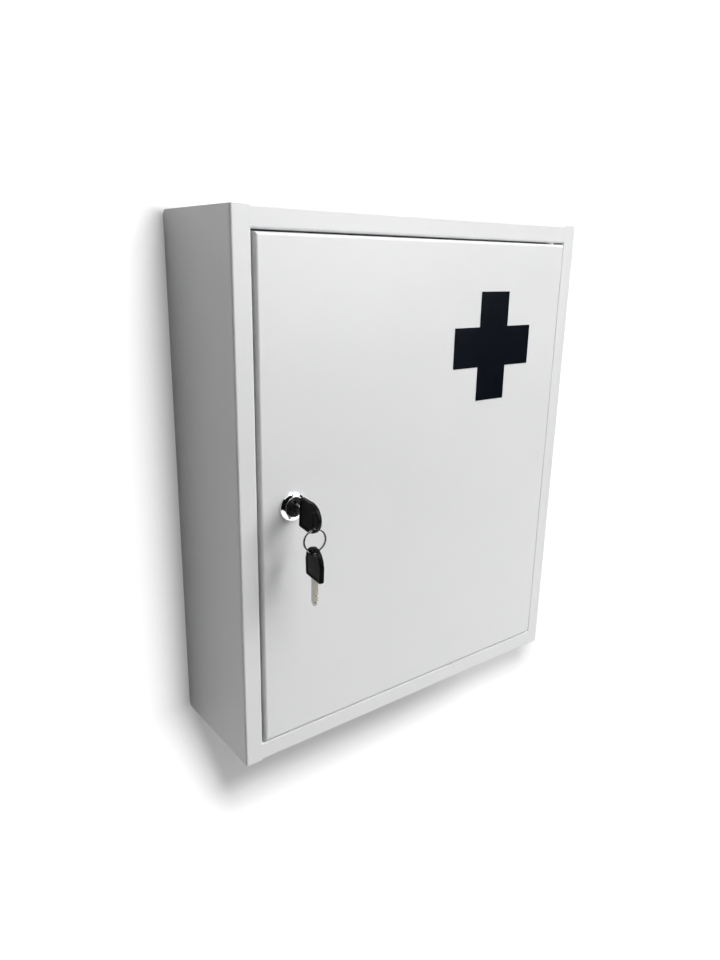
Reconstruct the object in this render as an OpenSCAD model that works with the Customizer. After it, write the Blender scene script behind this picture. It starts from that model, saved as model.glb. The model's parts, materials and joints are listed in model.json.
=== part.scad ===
// Lockable medicine cabinet for a wall: folded and welded steel case, inset door on two pivot
// pins, cam lock with a wafer plug, and two keys on a split ring.
// Millimetres. The origin is on the wall, midway between the four wall holes. The front faces -Y,
// +Z is up. The door is shut and its lock is open: the cam hangs straight down.

/* [Cabinet] */
// Width of the cabinet
cab_w = 300; // [240:10:500]
// Height of the cabinet
cab_h = 360; // [300:10:600]
// Depth of the cabinet, from the wall to the front
cab_d = 90; // [80:5:160]
// Thickness of the steel sheet
sheet_t = 1; // [0.8:0.1:1.2]
// Width of the frame round the door
frame_w = 13; // [13:0.5:22]
// Outside radius of the folds in the sheet
fold_r = 1.5; // [1.4:0.1:2]
// Outside radius of the two large folds at the wall
rear_fold_r = 4; // [2.5:0.5:8]

/* [Wall holes] */
// Distance from a side of the cabinet to the wall holes
wall_hole_side = 30; // [20:1:60]
// Distance from the top or the bottom of the cabinet to the wall holes
wall_hole_top = 40; // [20:1:60]
// Diameter of a wall hole
wall_hole_d = 7; // [4:0.5:10]

/* [Shelves] */
// Distance between the two shelves
shelf_pitch = 120; // [90:5:140]
// Distance from the front of the cabinet to the front of a shelf
shelf_setback = 21; // [18:1:40]
// Height of the lip along the front of a shelf
shelf_lip_h = 12; // [6:1:25]
// Height of the flanges that weld a shelf to the case
shelf_flange_h = 10; // [6:1:16]

/* [Door] */
// Gap between the door and its frame
door_gap = 1.2; // [1:0.1:1.5]
// Distance that the door's face stands out from its frame
door_proud = 1.5; // [0:0.1:1.5]
// Thickness of the door from its face to its rear lip
door_t = 14; // [13:0.5:16]
// Outside radius of the fold round the door's face
door_fold_r = 2; // [1.5:0.1:2.5]
// Width of the lip round the back of the door
door_lip_w = 8; // [7:0.5:14]

/* [Hinge] */
// Distance from the door's edge to the pivot pins
pivot_in = 11; // [11:0.5:12]
// Distance from the front of the frame back to the pivot pins
pivot_back = 4.75; // [4.75:0.05:5]
// Diameter of a pivot pin
pin_d = 4; // [3:0.25:4]
// Length of a pivot pin inside the door
pin_reach = 4.5; // [3:0.5:4.5]
// Wall of the plastic bush round a pin
bush_wall = 1.2; // [0.8:0.1:1.2]
// Length of the bush inside the door
bush_l = 5; // [5:0.5:8]
// Width of the rim at the end of a bush
bush_rim = 0.6; // [0.4:0.1:0.6]
// Thickness of the plate that backs up a pivot pin
hinge_plate_t = 2; // [1.5:0.5:3]
// Size of the plate that backs up a pivot pin, across the cabinet
hinge_plate_w = 17; // [12:1:18]

/* [Door stops] */
// Distance from the door's edge to the middle of its two stops
stop_in = 37.8; // [37:0.2:60]
// Width of a door stop
stop_w = 16; // [12:1:20]
// Diameter of the rubber buffer on a door stop
buffer_d = 8; // [5:0.5:8]

/* [Cross] */
// Width and height of the cross
cross_size = 79; // [30:1:100]
// Width of one arm of the cross
cross_arm = 29; // [10:1:29]
// Distance from the door's hinged edge to the middle of the cross
cross_side = 72.8; // [50:0.2:120]
// Distance from the door's top to the middle of the cross
cross_top = 73.8; // [50:0.2:120]
// Thickness of the cross's film
cross_t = 0.3; // [0.2:0.1:0.5]

/* [Lock] */
// Distance from the door's edge to the lock
lock_in = 23.8; // [23:0.2:30]
// Diameter of the lock's collar
collar_d = 20; // [19:0.5:24]
// Height of the collar above the door
collar_h = 2.6; // [2.4:0.1:3]
// Diameter of the lock's barrel
barrel_d = 16; // [15.5:0.5:18]
// Distance across the two flats of the barrel
barrel_flats = 13.8; // [13.4:0.1:15]
// Length of the barrel behind the door's face
barrel_l = 18; // [16:0.5:19]
// Diameter of the plug that the key turns
plug_d = 10.4; // [10:0.1:10.6]
// Diameter of the plug's head
plug_head_d = 13; // [12:0.5:13]
// Thickness of the nut
nut_t = 3; // [2:0.5:4]
// Distance across the flats of the nut
nut_flats = 19; // [19:0.5:22]
// Thickness of the toothed washer under the nut
tooth_washer_t = 0.8; // [0.5:0.1:1]

/* [Wafers] */
// Number of wafers
wafer_count = 4; // [3:1:4]
// Distance from one wafer to the next
wafer_pitch = 2.4; // [2:0.1:2.5]
// Thickness of a wafer
wafer_t = 1.1; // [0.8:0.1:1.2]
// Width of a wafer
wafer_w = 6.2; // [5.5:0.1:6.4]

/* [Cam] */
// Distance that the cam reaches in behind the frame
cam_hook = 7; // [5:0.5:8]
// Width of the cam's arm
cam_w = 10; // [7:0.5:12]
// Width of the cam's eye round its square hole
cam_eye = 5; // [4:0.5:6]
// Thickness of the cam
cam_t = 1.8; // [1.5:0.1:2.5]
// Gap between the frame's lip and the cam behind it
cam_clear = 1.1; // [0.8:0.1:1.5]
// Thickness of the disc that limits the turn
disc_t = 1; // [0.8:0.1:1.5]
// Angle that the lock turns
lock_turn = 90; // [45:5:90]
// Side of the square tail that carries the cam
tail_side = 6; // [5.5:0.5:6.5]
// Diameter of the screw that holds the cam
screw_d = 4; // [3:0.5:4]
// Diameter of that screw's head
screw_head_d = 7; // [6:0.5:8]
// Height of that screw's head
screw_head_h = 2.4; // [1.5:0.1:2.6]

/* [Keys] */
// Width of a key's bow
bow_w = 19.7; // [18:0.1:22]
// Length of the straight part of the bow
bow_straight = 11.3; // [10:0.1:13]
// Thickness of the bow
bow_t = 3.2; // [2.8:0.1:3.6]
// Length of a blade, from the bow to its tip
blade_l = 18.5; // [17:0.1:19]
// Height of a blade
blade_h = 6; // [5.5:0.1:6.2]
// Thickness of a blade
blade_t = 1.8; // [1.4:0.1:2]
// Distance from the door to the bow of the key in the lock
key_out = 9.3; // [7:0.1:10]
// Droop of the key in the lock, in degrees
key_droop = 5; // [0:0.5:5]

/* [Key ring] */
// Outside diameter of the split ring
ring_d = 16; // [15.5:0.5:20]
// Radial thickness of the ring's wire
ring_wire = 1.2; // [1:0.1:1.4]
// Thickness of the ring, both turns together
ring_t = 1.4; // [1:0.1:1.8]
// Turn of the ring and the hanging key about the vertical
ring_yaw = -7; // [-15:1:15]

/* [Hidden] */
$fn = 64;
cut = 1;
// Gap between a pin and its bore, on the radius
run_gap = 0.05;
// Play along the lock's axis
end_gap = 0.1;
// Gap beside a part that slides or lies in another
slide_gap = 0.15;
// Gap between the ring and the slot of the key that hangs on it
seat_gap = 0.45;
// Gap under the ring in the slot of the key in the lock, where the ring lies askew
skew_gap = 0.6;

half_w = cab_w / 2;
half_h = cab_h / 2;
inner_w = cab_w - 2 * sheet_t;
inner_h = cab_h - 2 * sheet_t;
door_w = cab_w - 2 * frame_w - 2 * door_gap;
door_h = cab_h - 2 * frame_w - 2 * door_gap;
door_front = -cab_d - door_proud;
door_back = door_front + door_t;
wall_hole_x = half_w - wall_hole_side;
wall_hole_z = half_h - wall_hole_top;
cross_x = door_w / 2 - cross_side;
cross_z = door_h / 2 - cross_top;
lock_x = door_w / 2 - lock_in;
stop_x = door_w / 2 - stop_in;
cam_l = lock_in + door_gap + cam_hook;
pivot_x = door_w / 2 - pivot_in;
pivot_y = -cab_d + pivot_back;

// Along the lock's axis, from the door's face outwards
plug_end = -barrel_l - end_gap;
cam_front = plug_end - disc_t;
cam_back = cam_front - cam_t;
cam_washer_t = 0.8;
lip_d = -cam_front - cam_clear - door_proud;
lip_back = -cab_d + lip_d;

plug_sunk = 0.4;
plug_face = collar_h - plug_sunk;
head_seat = 0.8;
collar_recess_d = plug_head_d + 2 * end_gap;
collar_rim = (collar_d - collar_recess_d) / 2;
wafer_first = -0.8;
wafer_slot_t = wafer_t + slide_gap;
wafer_r = plug_d / 2 - run_gap;
groove_depth = 1.2;
groove_r = plug_d / 2 + groove_depth;
keyway_w = blade_t + 2 * slide_gap;
blade_tip = key_out - blade_l;
keyway_h = blade_h + 2 * abs(blade_tip) * sin(key_droop) + 4 * slide_gap;
keyway_spare = 1.2;
keyway_end = blade_tip - keyway_spare;
wafer_row_end = wafer_first - (wafer_count - 1) * wafer_pitch - wafer_slot_t;
lug_h = 0.7;
lug_r = barrel_flats / 2 - lug_h;
lug_angle = 90;
tab_slack = 1.5;
tab_angle = 360 - lug_angle - lock_turn - 2 * tab_slack;

bow_r = bow_w / 2;
bow_edge = 0.5;
bow_panel = 0.35;
bow_rim = 1.8;
slot_rim = 1.3;
slot_r = 3.2;
slot_half = 4.2;
slot_up = 4.6;
slot_at = bow_straight + slot_up;
tang_short = 3;
tang_step = 0.7;
tang_l = bow_straight - tang_short;
tang_h = blade_h - 2 * tang_step;
bit_depth = [1.2, 0.6, 1.5, 0.9];
ring_r = (ring_d - ring_wire) / 2;
hang_up = slot_r - ring_wire / 2 - seat_gap;
ring_down = slot_half + slot_r - ring_wire / 2 - skew_gap;

// The hole of the key in the lock, where the ring hangs
ring_top = [
    -lock_x,
    door_front - (key_out + slot_at) * cos(key_droop) + ring_down * sin(key_droop),
    -(key_out + slot_at) * sin(key_droop) - ring_down * cos(key_droop)
];

white = [0.9, 0.9, 0.9];
steel = [0.66, 0.67, 0.69];
chromed = [0.82, 0.83, 0.85];
brassy = [0.78, 0.66, 0.38];
black = [0.07, 0.07, 0.08];

// Folded sheet. A section is a path along the sheet's one face, with the sheet on its left, and
// each corner of the path is a round fold of a quarter turn.

function left_of(d) = [-d.y, d.x];
function unit(v) = v / norm(v);

// Radius of a fold on the path's own face, which is the outer one where the path turns left
function path_r(before, after, r) = cross(before, after) > 0 ? r : r - sheet_t;

module folded(path, radii) {
    last = len(path) - 1;
    dirs = [for (i = [0:last - 1]) unit(path[i + 1] - path[i])];
    trims = [for (i = [0:last]) i == 0 || i == last ? 0 : path_r(dirs[i - 1], dirs[i], radii[i - 1])];
    for (i = [0:last - 1])
        rectangle(
            path[i] + dirs[i] * trims[i],
            path[i + 1] - dirs[i] * trims[i + 1] + left_of(dirs[i]) * sheet_t
        );
    for (i = [1:last - 1])
        translate(path[i] + (dirs[i] - dirs[i - 1]) * trims[i])
            intersection() {
                difference() {
                    circle(r = radii[i - 1]);
                    circle(r = radii[i - 1] - sheet_t);
                }
                rectangle([0, 0], (dirs[i - 1] - dirs[i]) * radii[i - 1]);
            }
}

// Rectangle between two opposite corners
module rectangle(p, q) {
    translate([min(p.x, q.x), min(p.y, q.y)])
        square([abs(q.x - p.x), abs(q.y - p.y)]);
}

// Extrudes a section drawn as [y, z] along X, about the middle
module along_x(length) {
    rotate([90, 0, 90])
        linear_extrude(height = length, center = true)
            children();
}

// Extrudes a section drawn as [x, z] along Y, from y0 to y1
module along_y(y0, y1) {
    translate([0, y1, 0])
        rotate([90, 0, 0])
            linear_extrude(height = y1 - y0)
                children();
}

module upper_and_lower(upper) {
    mirror([0, 0, upper ? 0 : 1])
        children();
}

// A wedge from angle a0 to a1, wider than anything that it cuts
module wedge(a0, a1, r) {
    steps = ceil((a1 - a0) / 30);
    corners = [for (i = [0:steps]) let (a = a0 + (a1 - a0) * i / steps) 1.5 * r * [cos(a), sin(a)]];
    polygon(concat([[0, 0]], corners));
}

// Case

module case_wrapper() {
    path = [
        [lip_back, -half_h + frame_w],
        [-cab_d, -half_h + frame_w],
        [-cab_d, -half_h],
        [0, -half_h],
        [0, half_h],
        [-cab_d, half_h],
        [-cab_d, half_h - frame_w],
        [lip_back, half_h - frame_w]
    ];
    radii = [fold_r, fold_r, rear_fold_r, rear_fold_r, fold_r, fold_r];
    color(white)
        difference() {
            along_x(cab_w)
                folded(path, radii);
            // The side panels carry the frame at both ends
            for (side = [-1, 1])
                translate([side * (half_w - frame_w / 2), 0, 0]) {
                    translate([-frame_w / 2 - (side < 0 ? cut : 0), -cab_d - cut, -half_h - cut])
                        cube([frame_w + cut, sheet_t + cut, cab_h + 2 * cut]);
                    translate([-frame_w / 2 - (side < 0 ? cut : 0), -cab_d, -inner_h / 2])
                        cube([frame_w + cut, lip_d + cut, inner_h]);
                }
            for (x = [-1, 1], z = [-1, 1])
                translate([x * wall_hole_x, cut, z * wall_hole_z])
                    rotate([90, 0, 0])
                        cylinder(d = wall_hole_d, h = sheet_t + 2 * cut);
            for (end = [0, 1])
                mirror([0, 0, end])
                    at_pivot()
                        translate([0, 0, -cut])
                            cylinder(d = hinge_hole_d, h = sheet_t + 2 * cut);
        }
}

module side_panel() {
    path = [
        [-half_w, -sheet_t],
        [-half_w, -cab_d],
        [-half_w + frame_w, -cab_d],
        [-half_w + frame_w, lip_back]
    ];
    color(white)
        difference() {
            linear_extrude(height = cab_h, center = true)
                folded(path, [fold_r, fold_r]);
            for (end = [0, 1])
                mirror([0, 0, end]) {
                    // Only the front flange reaches the top and the bottom of the cabinet
                    translate([-half_w - cut, -cab_d + sheet_t, inner_h / 2])
                        cube([frame_w + 2 * cut, cab_d, sheet_t + cut]);
                    translate([-half_w, 0, 0])
                        along_x(4 * sheet_t)
                            fold_corner(rear_fold_r - sheet_t + 4 * run_gap);
                }
        }
}

// What the case's large fold takes off the corner of a side panel, as [y, z]
module fold_corner(r) {
    difference() {
        translate([-sheet_t - r, inner_h / 2 - r])
            square(r + cut);
        translate([-sheet_t - r, inner_h / 2 - r])
            circle(r = r);
    }
}

module side_left() {
    side_panel();
}

module side_right() {
    mirror([1, 0, 0])
        side_panel();
}

// Shelf whose upper face is at z
module shelf(z) {
    front = -cab_d + shelf_setback;
    path = [
        [front, z + shelf_lip_h],
        [front, z - sheet_t],
        [-2 * sheet_t, z - sheet_t],
        [-2 * sheet_t, z - sheet_t - shelf_flange_h]
    ];
    ends = [
        [inner_w / 2, z - shelf_flange_h],
        [inner_w / 2, z],
        [-inner_w / 2, z],
        [-inner_w / 2, z - shelf_flange_h]
    ];
    color(white) {
        along_x(inner_w - 2 * fold_r)
            folded(path, [fold_r, fold_r]);
        along_y(front + shelf_flange_h, -2 * sheet_t - shelf_flange_h)
            folded(ends, [fold_r, fold_r]);
    }
}

module shelf_upper() {
    shelf(shelf_pitch / 2);
}

module shelf_lower() {
    shelf(-shelf_pitch / 2);
}

// Hinge, drawn at the top of the door

hinge_z = half_h - frame_w;
hinge_hole_d = pin_d + 2 * run_gap;
hinge_plate_d = 2 * (pivot_back - fold_r);

module at_pivot() {
    translate([pivot_x, pivot_y, hinge_z])
        children();
}

module hinge_plate() {
    color(steel)
        at_pivot()
            difference() {
                translate([-hinge_plate_w / 2, -hinge_plate_d / 2, sheet_t])
                    cube([hinge_plate_w, hinge_plate_d, hinge_plate_t]);
                translate([0, 0, sheet_t - cut])
                    cylinder(d = hinge_hole_d, h = hinge_plate_t + 2 * cut);
            }
}

module hinge_pin() {
    head_z = sheet_t + hinge_plate_t;
    head_h = 1.5;
    head_r = pin_d / 2 + head_h;
    reach = -door_gap - pin_reach;
    chamfer = 0.5;
    color(steel)
        at_pivot()
            rotate_extrude()
                polygon([
                    [0, reach], [pin_d / 2 - chamfer, reach], [pin_d / 2, reach + chamfer],
                    [pin_d / 2, head_z], [head_r, head_z], [0.97 * head_r, head_z + 0.4 * head_h],
                    [0.8 * head_r, head_z + 0.8 * head_h], [0, head_z + head_h]
                ]);
}

module hinge_bush() {
    bush_r = pin_d / 2 + bush_wall;
    rim_t = door_gap - 2 * run_gap;
    color([0.93, 0.92, 0.88])
        at_pivot()
            rotate_extrude()
                polygon([
                    [hinge_hole_d / 2, -door_gap - bush_l], [bush_r, -door_gap - bush_l],
                    [bush_r, -door_gap], [bush_r + bush_rim, -door_gap],
                    [bush_r + bush_rim, -door_gap + rim_t], [hinge_hole_d / 2, -door_gap + rim_t]
                ]);
}

module hinge_plate_upper() {
    upper_and_lower(true)
        hinge_plate();
}

module hinge_plate_lower() {
    upper_and_lower(false)
        hinge_plate();
}

module hinge_pin_upper() {
    upper_and_lower(true)
        hinge_pin();
}

module hinge_pin_lower() {
    upper_and_lower(false)
        hinge_pin();
}

module hinge_bush_upper() {
    upper_and_lower(true)
        hinge_bush();
}

module hinge_bush_lower() {
    upper_and_lower(false)
        hinge_bush();
}

// Door stops, drawn at the top of the door

buffer_z = half_h - frame_w - door_gap - door_lip_w / 2;
buffer_stem_d = buffer_d / 2;
stop_face = lip_back + fold_r - sheet_t;
stop_back = stop_face + sheet_t;
stop_leg = 14;

module door_stop() {
    path = [
        [stop_back, buffer_z - buffer_d / 2 - 1],
        [stop_back, hinge_z + 2 * sheet_t],
        [stop_back - stop_leg, hinge_z + 2 * sheet_t]
    ];
    color(white)
        difference() {
            translate([-stop_x, 0, 0])
                along_x(stop_w)
                    folded(path, [fold_r]);
            translate([-stop_x, stop_back + cut, buffer_z])
                rotate([90, 0, 0])
                    cylinder(d = buffer_stem_d + 2 * run_gap, h = sheet_t + 2 * cut);
        }
}

module buffer() {
    front = stop_face - door_back - run_gap;
    stem_r = buffer_stem_d / 2;
    chamfer = 1;
    bulb = 0.5;
    bulb_h = 1.4;
    color([0.16, 0.16, 0.17])
        translate([-stop_x, stop_face, buffer_z])
            rotate([90, 0, 0])
                rotate_extrude()
                    polygon([
                        [0, front], [buffer_d / 2 - chamfer, front], [buffer_d / 2, front - chamfer],
                        [buffer_d / 2, 0], [stem_r, 0], [stem_r, -sheet_t],
                        [stem_r + bulb, -sheet_t], [stem_r - bulb, -sheet_t - bulb_h], [0, -sheet_t - bulb_h]
                    ]);
}

module door_stop_upper() {
    upper_and_lower(true)
        door_stop();
}

module door_stop_lower() {
    upper_and_lower(false)
        door_stop();
}

module buffer_upper() {
    upper_and_lower(true)
        buffer();
}

module buffer_lower() {
    upper_and_lower(false)
        buffer();
}

// Door

// Section of a pan from its face at 0 to its back at depth, w wide, as [x, y]
module pan_section(w, depth, front_r, back_r) {
    translate([-w / 2, front_r])
        square([w, depth - front_r - back_r]);
    translate([-w / 2 + front_r, 0])
        square([w - 2 * front_r, depth / 2]);
    translate([-w / 2 + back_r, depth / 2])
        square([w - 2 * back_r, depth / 2]);
    for (side = [-1, 1]) {
        translate([side * (w / 2 - front_r), front_r])
            circle(r = front_r);
        translate([side * (w / 2 - back_r), depth - back_r])
            circle(r = back_r);
    }
}

// Block with folded edges all round and mitred corners
module pan_block(w, depth, h, front_r, back_r) {
    intersection() {
        linear_extrude(height = h, center = true)
            pan_section(w, depth, front_r, back_r);
        along_x(w)
            rotate(-90)
                pan_section(h, depth, front_r, back_r);
    }
}

module barrel_outline(gap) {
    intersection() {
        circle(d = barrel_d + 2 * gap);
        square([barrel_flats + 2 * gap, barrel_d + 2], center = true);
    }
}

module door_pan() {
    color(white)
        difference() {
            translate([0, door_front, 0])
                difference() {
                    pan_block(door_w, door_t, door_h, door_fold_r, fold_r);
                    translate([0, sheet_t, 0])
                        pan_block(
                            door_w - 2 * sheet_t, door_t - 2 * sheet_t, door_h - 2 * sheet_t,
                            door_fold_r - sheet_t, fold_r - sheet_t
                        );
                    translate([-door_w / 2 + door_lip_w, door_t / 2, -door_h / 2 + door_lip_w])
                        cube([door_w - 2 * door_lip_w, door_t, door_h - 2 * door_lip_w]);
                }
            at_lock()
                translate([0, 0, -sheet_t - cut])
                    linear_extrude(height = sheet_t + 2 * cut)
                        barrel_outline(run_gap);
            for (end = [0, 1])
                mirror([0, 0, end])
                    at_pivot()
                        translate([0, 0, -door_gap - sheet_t - cut])
                            cylinder(r = pin_d / 2 + bush_wall + run_gap, h = sheet_t + 2 * cut);
        }
}

module door_cross() {
    color([0.05, 0.07, 0.1])
        translate([cross_x, 0, cross_z])
            along_y(door_front - cross_t, door_front)
                union() {
                    square([cross_size, cross_arm], center = true);
                    square([cross_arm, cross_size], center = true);
                }
}

// Lock. Its own axis is +Z, from the door's face outwards, and +Y is up.

module at_lock() {
    translate([-lock_x, door_front, 0])
        rotate([90, 0, 0])
            children();
}

module lock_body() {
    bore_r = plug_d / 2 + run_gap;
    outer = collar_d / 2;
    recess = collar_recess_d / 2;
    rim_bevel = 0.6;
    color(chromed)
        at_lock()
            difference() {
                union() {
                    // Collar with a rounded rim and a step down to the plug
                    rotate_extrude()
                        polygon([
                            [bore_r, -sheet_t], [barrel_flats / 2, -sheet_t], [barrel_flats / 2, 0],
                            [outer, 0], [outer, 0.35 * collar_h], [outer - 0.12 * collar_rim, 0.65 * collar_h],
                            [outer - 0.35 * collar_rim, 0.88 * collar_h], [outer - 0.6 * collar_rim, collar_h],
                            [outer - 0.75 * collar_rim, collar_h], [recess, collar_h - rim_bevel],
                            [recess, head_seat - end_gap], [bore_r, head_seat - end_gap]
                        ]);
                    difference() {
                        translate([0, 0, -barrel_l])
                            linear_extrude(height = barrel_l)
                                barrel_outline(0);
                        translate([0, 0, -barrel_l - cut])
                            cylinder(r = bore_r, h = barrel_l + 2 * cut);
                    }
                    // Lug that the turning disc runs against
                    translate([0, 0, -barrel_l - disc_t])
                        linear_extrude(height = disc_t + 0.5)
                            intersection() {
                                difference() {
                                    barrel_outline(0);
                                    circle(r = lug_r + run_gap);
                                }
                                wedge(90 - lug_angle / 2, 90 + lug_angle / 2, barrel_d);
                            }
                }
                // Grooves that the wafers lock into
                translate([-wafer_w / 2 - slide_gap, -groove_r, wafer_row_end])
                    cube([wafer_w + 2 * slide_gap, 2 * groove_r, -wafer_row_end]);
            }
}

module lock_tooth_washer() {
    teeth = 16;
    tooth_h = 1;
    notch_w = 1.2;
    inner = barrel_d / 2 + run_gap;
    outer = nut_flats / 2 + tooth_h;
    color(steel)
        at_lock()
            translate([0, 0, -sheet_t - tooth_washer_t])
                linear_extrude(height = tooth_washer_t)
                    difference() {
                        circle(r = outer);
                        circle(r = inner);
                        for (i = [0:teeth - 1])
                            rotate(i * 360 / teeth)
                                translate([outer - tooth_h, -notch_w / 2])
                                    square([2 * tooth_h, notch_w]);
                    }
}

module lock_nut() {
    color(steel)
        at_lock()
            translate([0, 0, -sheet_t - tooth_washer_t - nut_t])
                difference() {
                    cylinder(r = nut_flats / 2 / cos(30), h = nut_t, $fn = 6);
                    translate([0, 0, -cut])
                        cylinder(r = barrel_d / 2 + run_gap, h = nut_t + 2 * cut);
                }
}

module lock_plug() {
    chamfer = 0.4;
    // The tail stops short, so that the screw clamps the cam
    tail_end = cam_back + end_gap;
    color([0.2, 0.2, 0.21])
        at_lock()
            difference() {
                union() {
                    rotate_extrude()
                        polygon([
                            [0, plug_end], [plug_d / 2, plug_end], [plug_d / 2, head_seat],
                            [plug_head_d / 2, head_seat], [plug_head_d / 2, plug_face - chamfer],
                            [plug_head_d / 2 - chamfer, plug_face], [0, plug_face]
                        ]);
                    translate([-tail_side / 2, -tail_side / 2, tail_end])
                        cube([tail_side, tail_side, plug_end - tail_end]);
                }
                translate([-keyway_w / 2, -keyway_h / 2, keyway_end])
                    cube([keyway_w, keyway_h, plug_face - keyway_end + cut]);
                for (i = [0:wafer_count - 1])
                    translate([
                        -wafer_w / 2 - slide_gap / 2, -plug_d / 2 - cut,
                        wafer_first - i * wafer_pitch - wafer_slot_t
                    ])
                        cube([wafer_w + slide_gap, plug_d + 2 * cut, wafer_slot_t]);
                translate([0, 0, cam_back - cut])
                    cylinder(d = screw_d + 2 * run_gap, h = cam_t + disc_t + cut);
            }
}

module lock_wafers() {
    window_h = keyway_h + slide_gap;
    color(brassy)
        at_lock()
            for (i = [0:wafer_count - 1])
                translate([0, 0, wafer_first - i * wafer_pitch - wafer_slot_t / 2])
                    linear_extrude(height = wafer_t, center = true)
                        difference() {
                            intersection() {
                                circle(r = wafer_r);
                                square([wafer_w, plug_d], center = true);
                            }
                            square([keyway_w + slide_gap, window_h], center = true);
                        }
}

module tail_hole() {
    square(tail_side + 2 * run_gap, center = true);
}

module turn_limit_disc() {
    color(steel)
        at_lock()
            translate([0, 0, cam_front])
                linear_extrude(height = disc_t)
                    difference() {
                        union() {
                            circle(r = lug_r - slide_gap);
                            intersection() {
                                circle(r = barrel_flats / 2);
                                wedge(
                                    90 - lug_angle / 2 - tab_slack - tab_angle,
                                    90 - lug_angle / 2 - tab_slack,
                                    barrel_d
                                );
                            }
                        }
                        tail_hole();
                    }
}

module lock_cam() {
    color(steel)
        at_lock()
            translate([0, 0, cam_back])
                linear_extrude(height = cam_t)
                    difference() {
                        union() {
                            circle(r = tail_side / 2 + cam_eye);
                            translate([-cam_w / 2, -cam_l + cam_w / 2])
                                square([cam_w, cam_l - cam_w / 2]);
                            translate([0, -cam_l + cam_w / 2])
                                circle(d = cam_w);
                        }
                        tail_hole();
                    }
}

// Spring washer with its split
module cam_washer() {
    split_w = 0.8;
    color(steel)
        at_lock()
            translate([0, 0, cam_back - cam_washer_t])
                linear_extrude(height = cam_washer_t)
                    difference() {
                        circle(d = tail_side * sqrt(2) + 1);
                        circle(d = screw_d + 2 * run_gap);
                        rotate(-20)
                            translate([0, -split_w / 2])
                                square([tail_side, split_w]);
                    }
}

module cam_screw() {
    under_head = cam_back - cam_washer_t;
    head_end = under_head - screw_head_h;
    head_r = screw_head_d / 2;
    dome = 0.8;
    chamfer = 0.4;
    recess_w = 0.8;
    recess_l = 0.6 * screw_head_d;
    recess_depth = 0.5 * screw_head_h;
    color(steel)
        at_lock()
            difference() {
                rotate_extrude()
                    polygon([
                        [0, head_end], [head_r - dome, head_end],
                        [head_r, head_end + dome], [head_r, under_head],
                        [screw_d / 2, under_head], [screw_d / 2, plug_end - chamfer],
                        [screw_d / 2 - chamfer, plug_end], [0, plug_end]
                    ]);
                // Cross recess
                for (a = [0, 90])
                    rotate(a)
                        translate([-recess_l / 2, -recess_w / 2, head_end - cut])
                            cube([recess_l, recess_w, recess_depth + cut]);
            }
}

// Keys. A key's own origin is where the blade leaves the bow, the bow is towards +Z, and the cuts
// are on the blade's -Y edge.

module at_inserted_key() {
    at_lock()
        rotate([key_droop, 0, 0])
            translate([0, 0, key_out])
                children();
}

module at_hanging_key() {
    translate(ring_top)
        rotate([0, 0, ring_yaw])
            translate([0, 0, -2 * ring_r - slot_at - hang_up])
                children();
}

// Outline of the bow as [y, z], `inset` in from its edge
module bow_outline(inset) {
    translate([-bow_r + inset, inset])
        square([bow_w - 2 * inset, bow_straight - inset]);
    translate([0, bow_straight])
        circle(r = bow_r - inset);
}

module ring_slot(grow) {
    translate([-slot_half, slot_at - slot_r - grow])
        square([2 * slot_half, 2 * (slot_r + grow)]);
    for (side = [-1, 1])
        translate([side * slot_half, slot_at])
            circle(r = slot_r + grow);
}

module bow() {
    rim = [
        [0, -bow_t / 2], [bow_r - bow_edge, -bow_t / 2], [bow_r, -bow_t / 2 + bow_edge],
        [bow_r, bow_t / 2 - bow_edge], [bow_r - bow_edge, bow_t / 2], [0, bow_t / 2]
    ];
    color(black)
        difference() {
            union() {
                translate([0, 0, bow_straight])
                    rotate([0, 90, 0])
                        rotate_extrude()
                            polygon(rim);
                linear_extrude(height = bow_straight)
                    for (side = [0, 1])
                        mirror([0, side, 0])
                            rotate(90)
                                polygon(rim);
            }
            // Sunk panel on both faces, with a raised edge left round the slot
            for (side = [-1, 1])
                translate([side * bow_t / 2, 0, 0])
                    along_x(2 * bow_panel)
                        difference() {
                            bow_outline(bow_rim);
                            ring_slot(slot_rim);
                        }
            along_x(bow_t + 2 * cut)
                ring_slot(0);
            translate([-blade_t / 2, -tang_h / 2, -cut])
                cube([blade_t, tang_h, tang_l + cut]);
        }
}

module blade() {
    groove_w = 1.4;
    groove_t = 0.5;
    groove_z = 0.5;
    color([0.72, 0.69, 0.62])
        difference() {
            union() {
                along_x(blade_t)
                    blade_outline();
                translate([-blade_t / 2, -tang_h / 2, 0])
                    cube([blade_t, tang_h, tang_l]);
            }
            // Milled groove along one face
            translate([blade_t / 2 - groove_t, groove_z, -blade_l - cut])
                cube([groove_t + cut, groove_w, blade_l - tang_step]);
        }
}

// Blade as [y, z]: pointed tip, and a cut for each wafer
module blade_outline() {
    half = blade_h / 2;
    cut_w = 0.7;
    point_l = 2;
    point_h = 1.2;
    difference() {
        polygon([
            [-half, 0], [half, 0], [half, -blade_l + point_l],
            [point_h / 2, -blade_l], [-point_h / 2, -blade_l], [-half, -blade_l + point_l]
        ]);
        for (i = [0:wafer_count - 1])
            translate([-half, -key_out + wafer_first - i * wafer_pitch - wafer_slot_t / 2])
                polygon([
                    [-0.1, cut_w / 2 + bit_depth[i] * 0.5], [bit_depth[i], cut_w / 2],
                    [bit_depth[i], -cut_w / 2], [-0.1, -cut_w / 2 - bit_depth[i] * 0.5]
                ]);
    }
}

module key_blade() {
    at_inserted_key()
        blade();
}

module key_bow() {
    at_inserted_key()
        bow();
}

module spare_key_blade() {
    at_hanging_key()
        blade();
}

module spare_key_bow() {
    at_hanging_key()
        bow();
}

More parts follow.
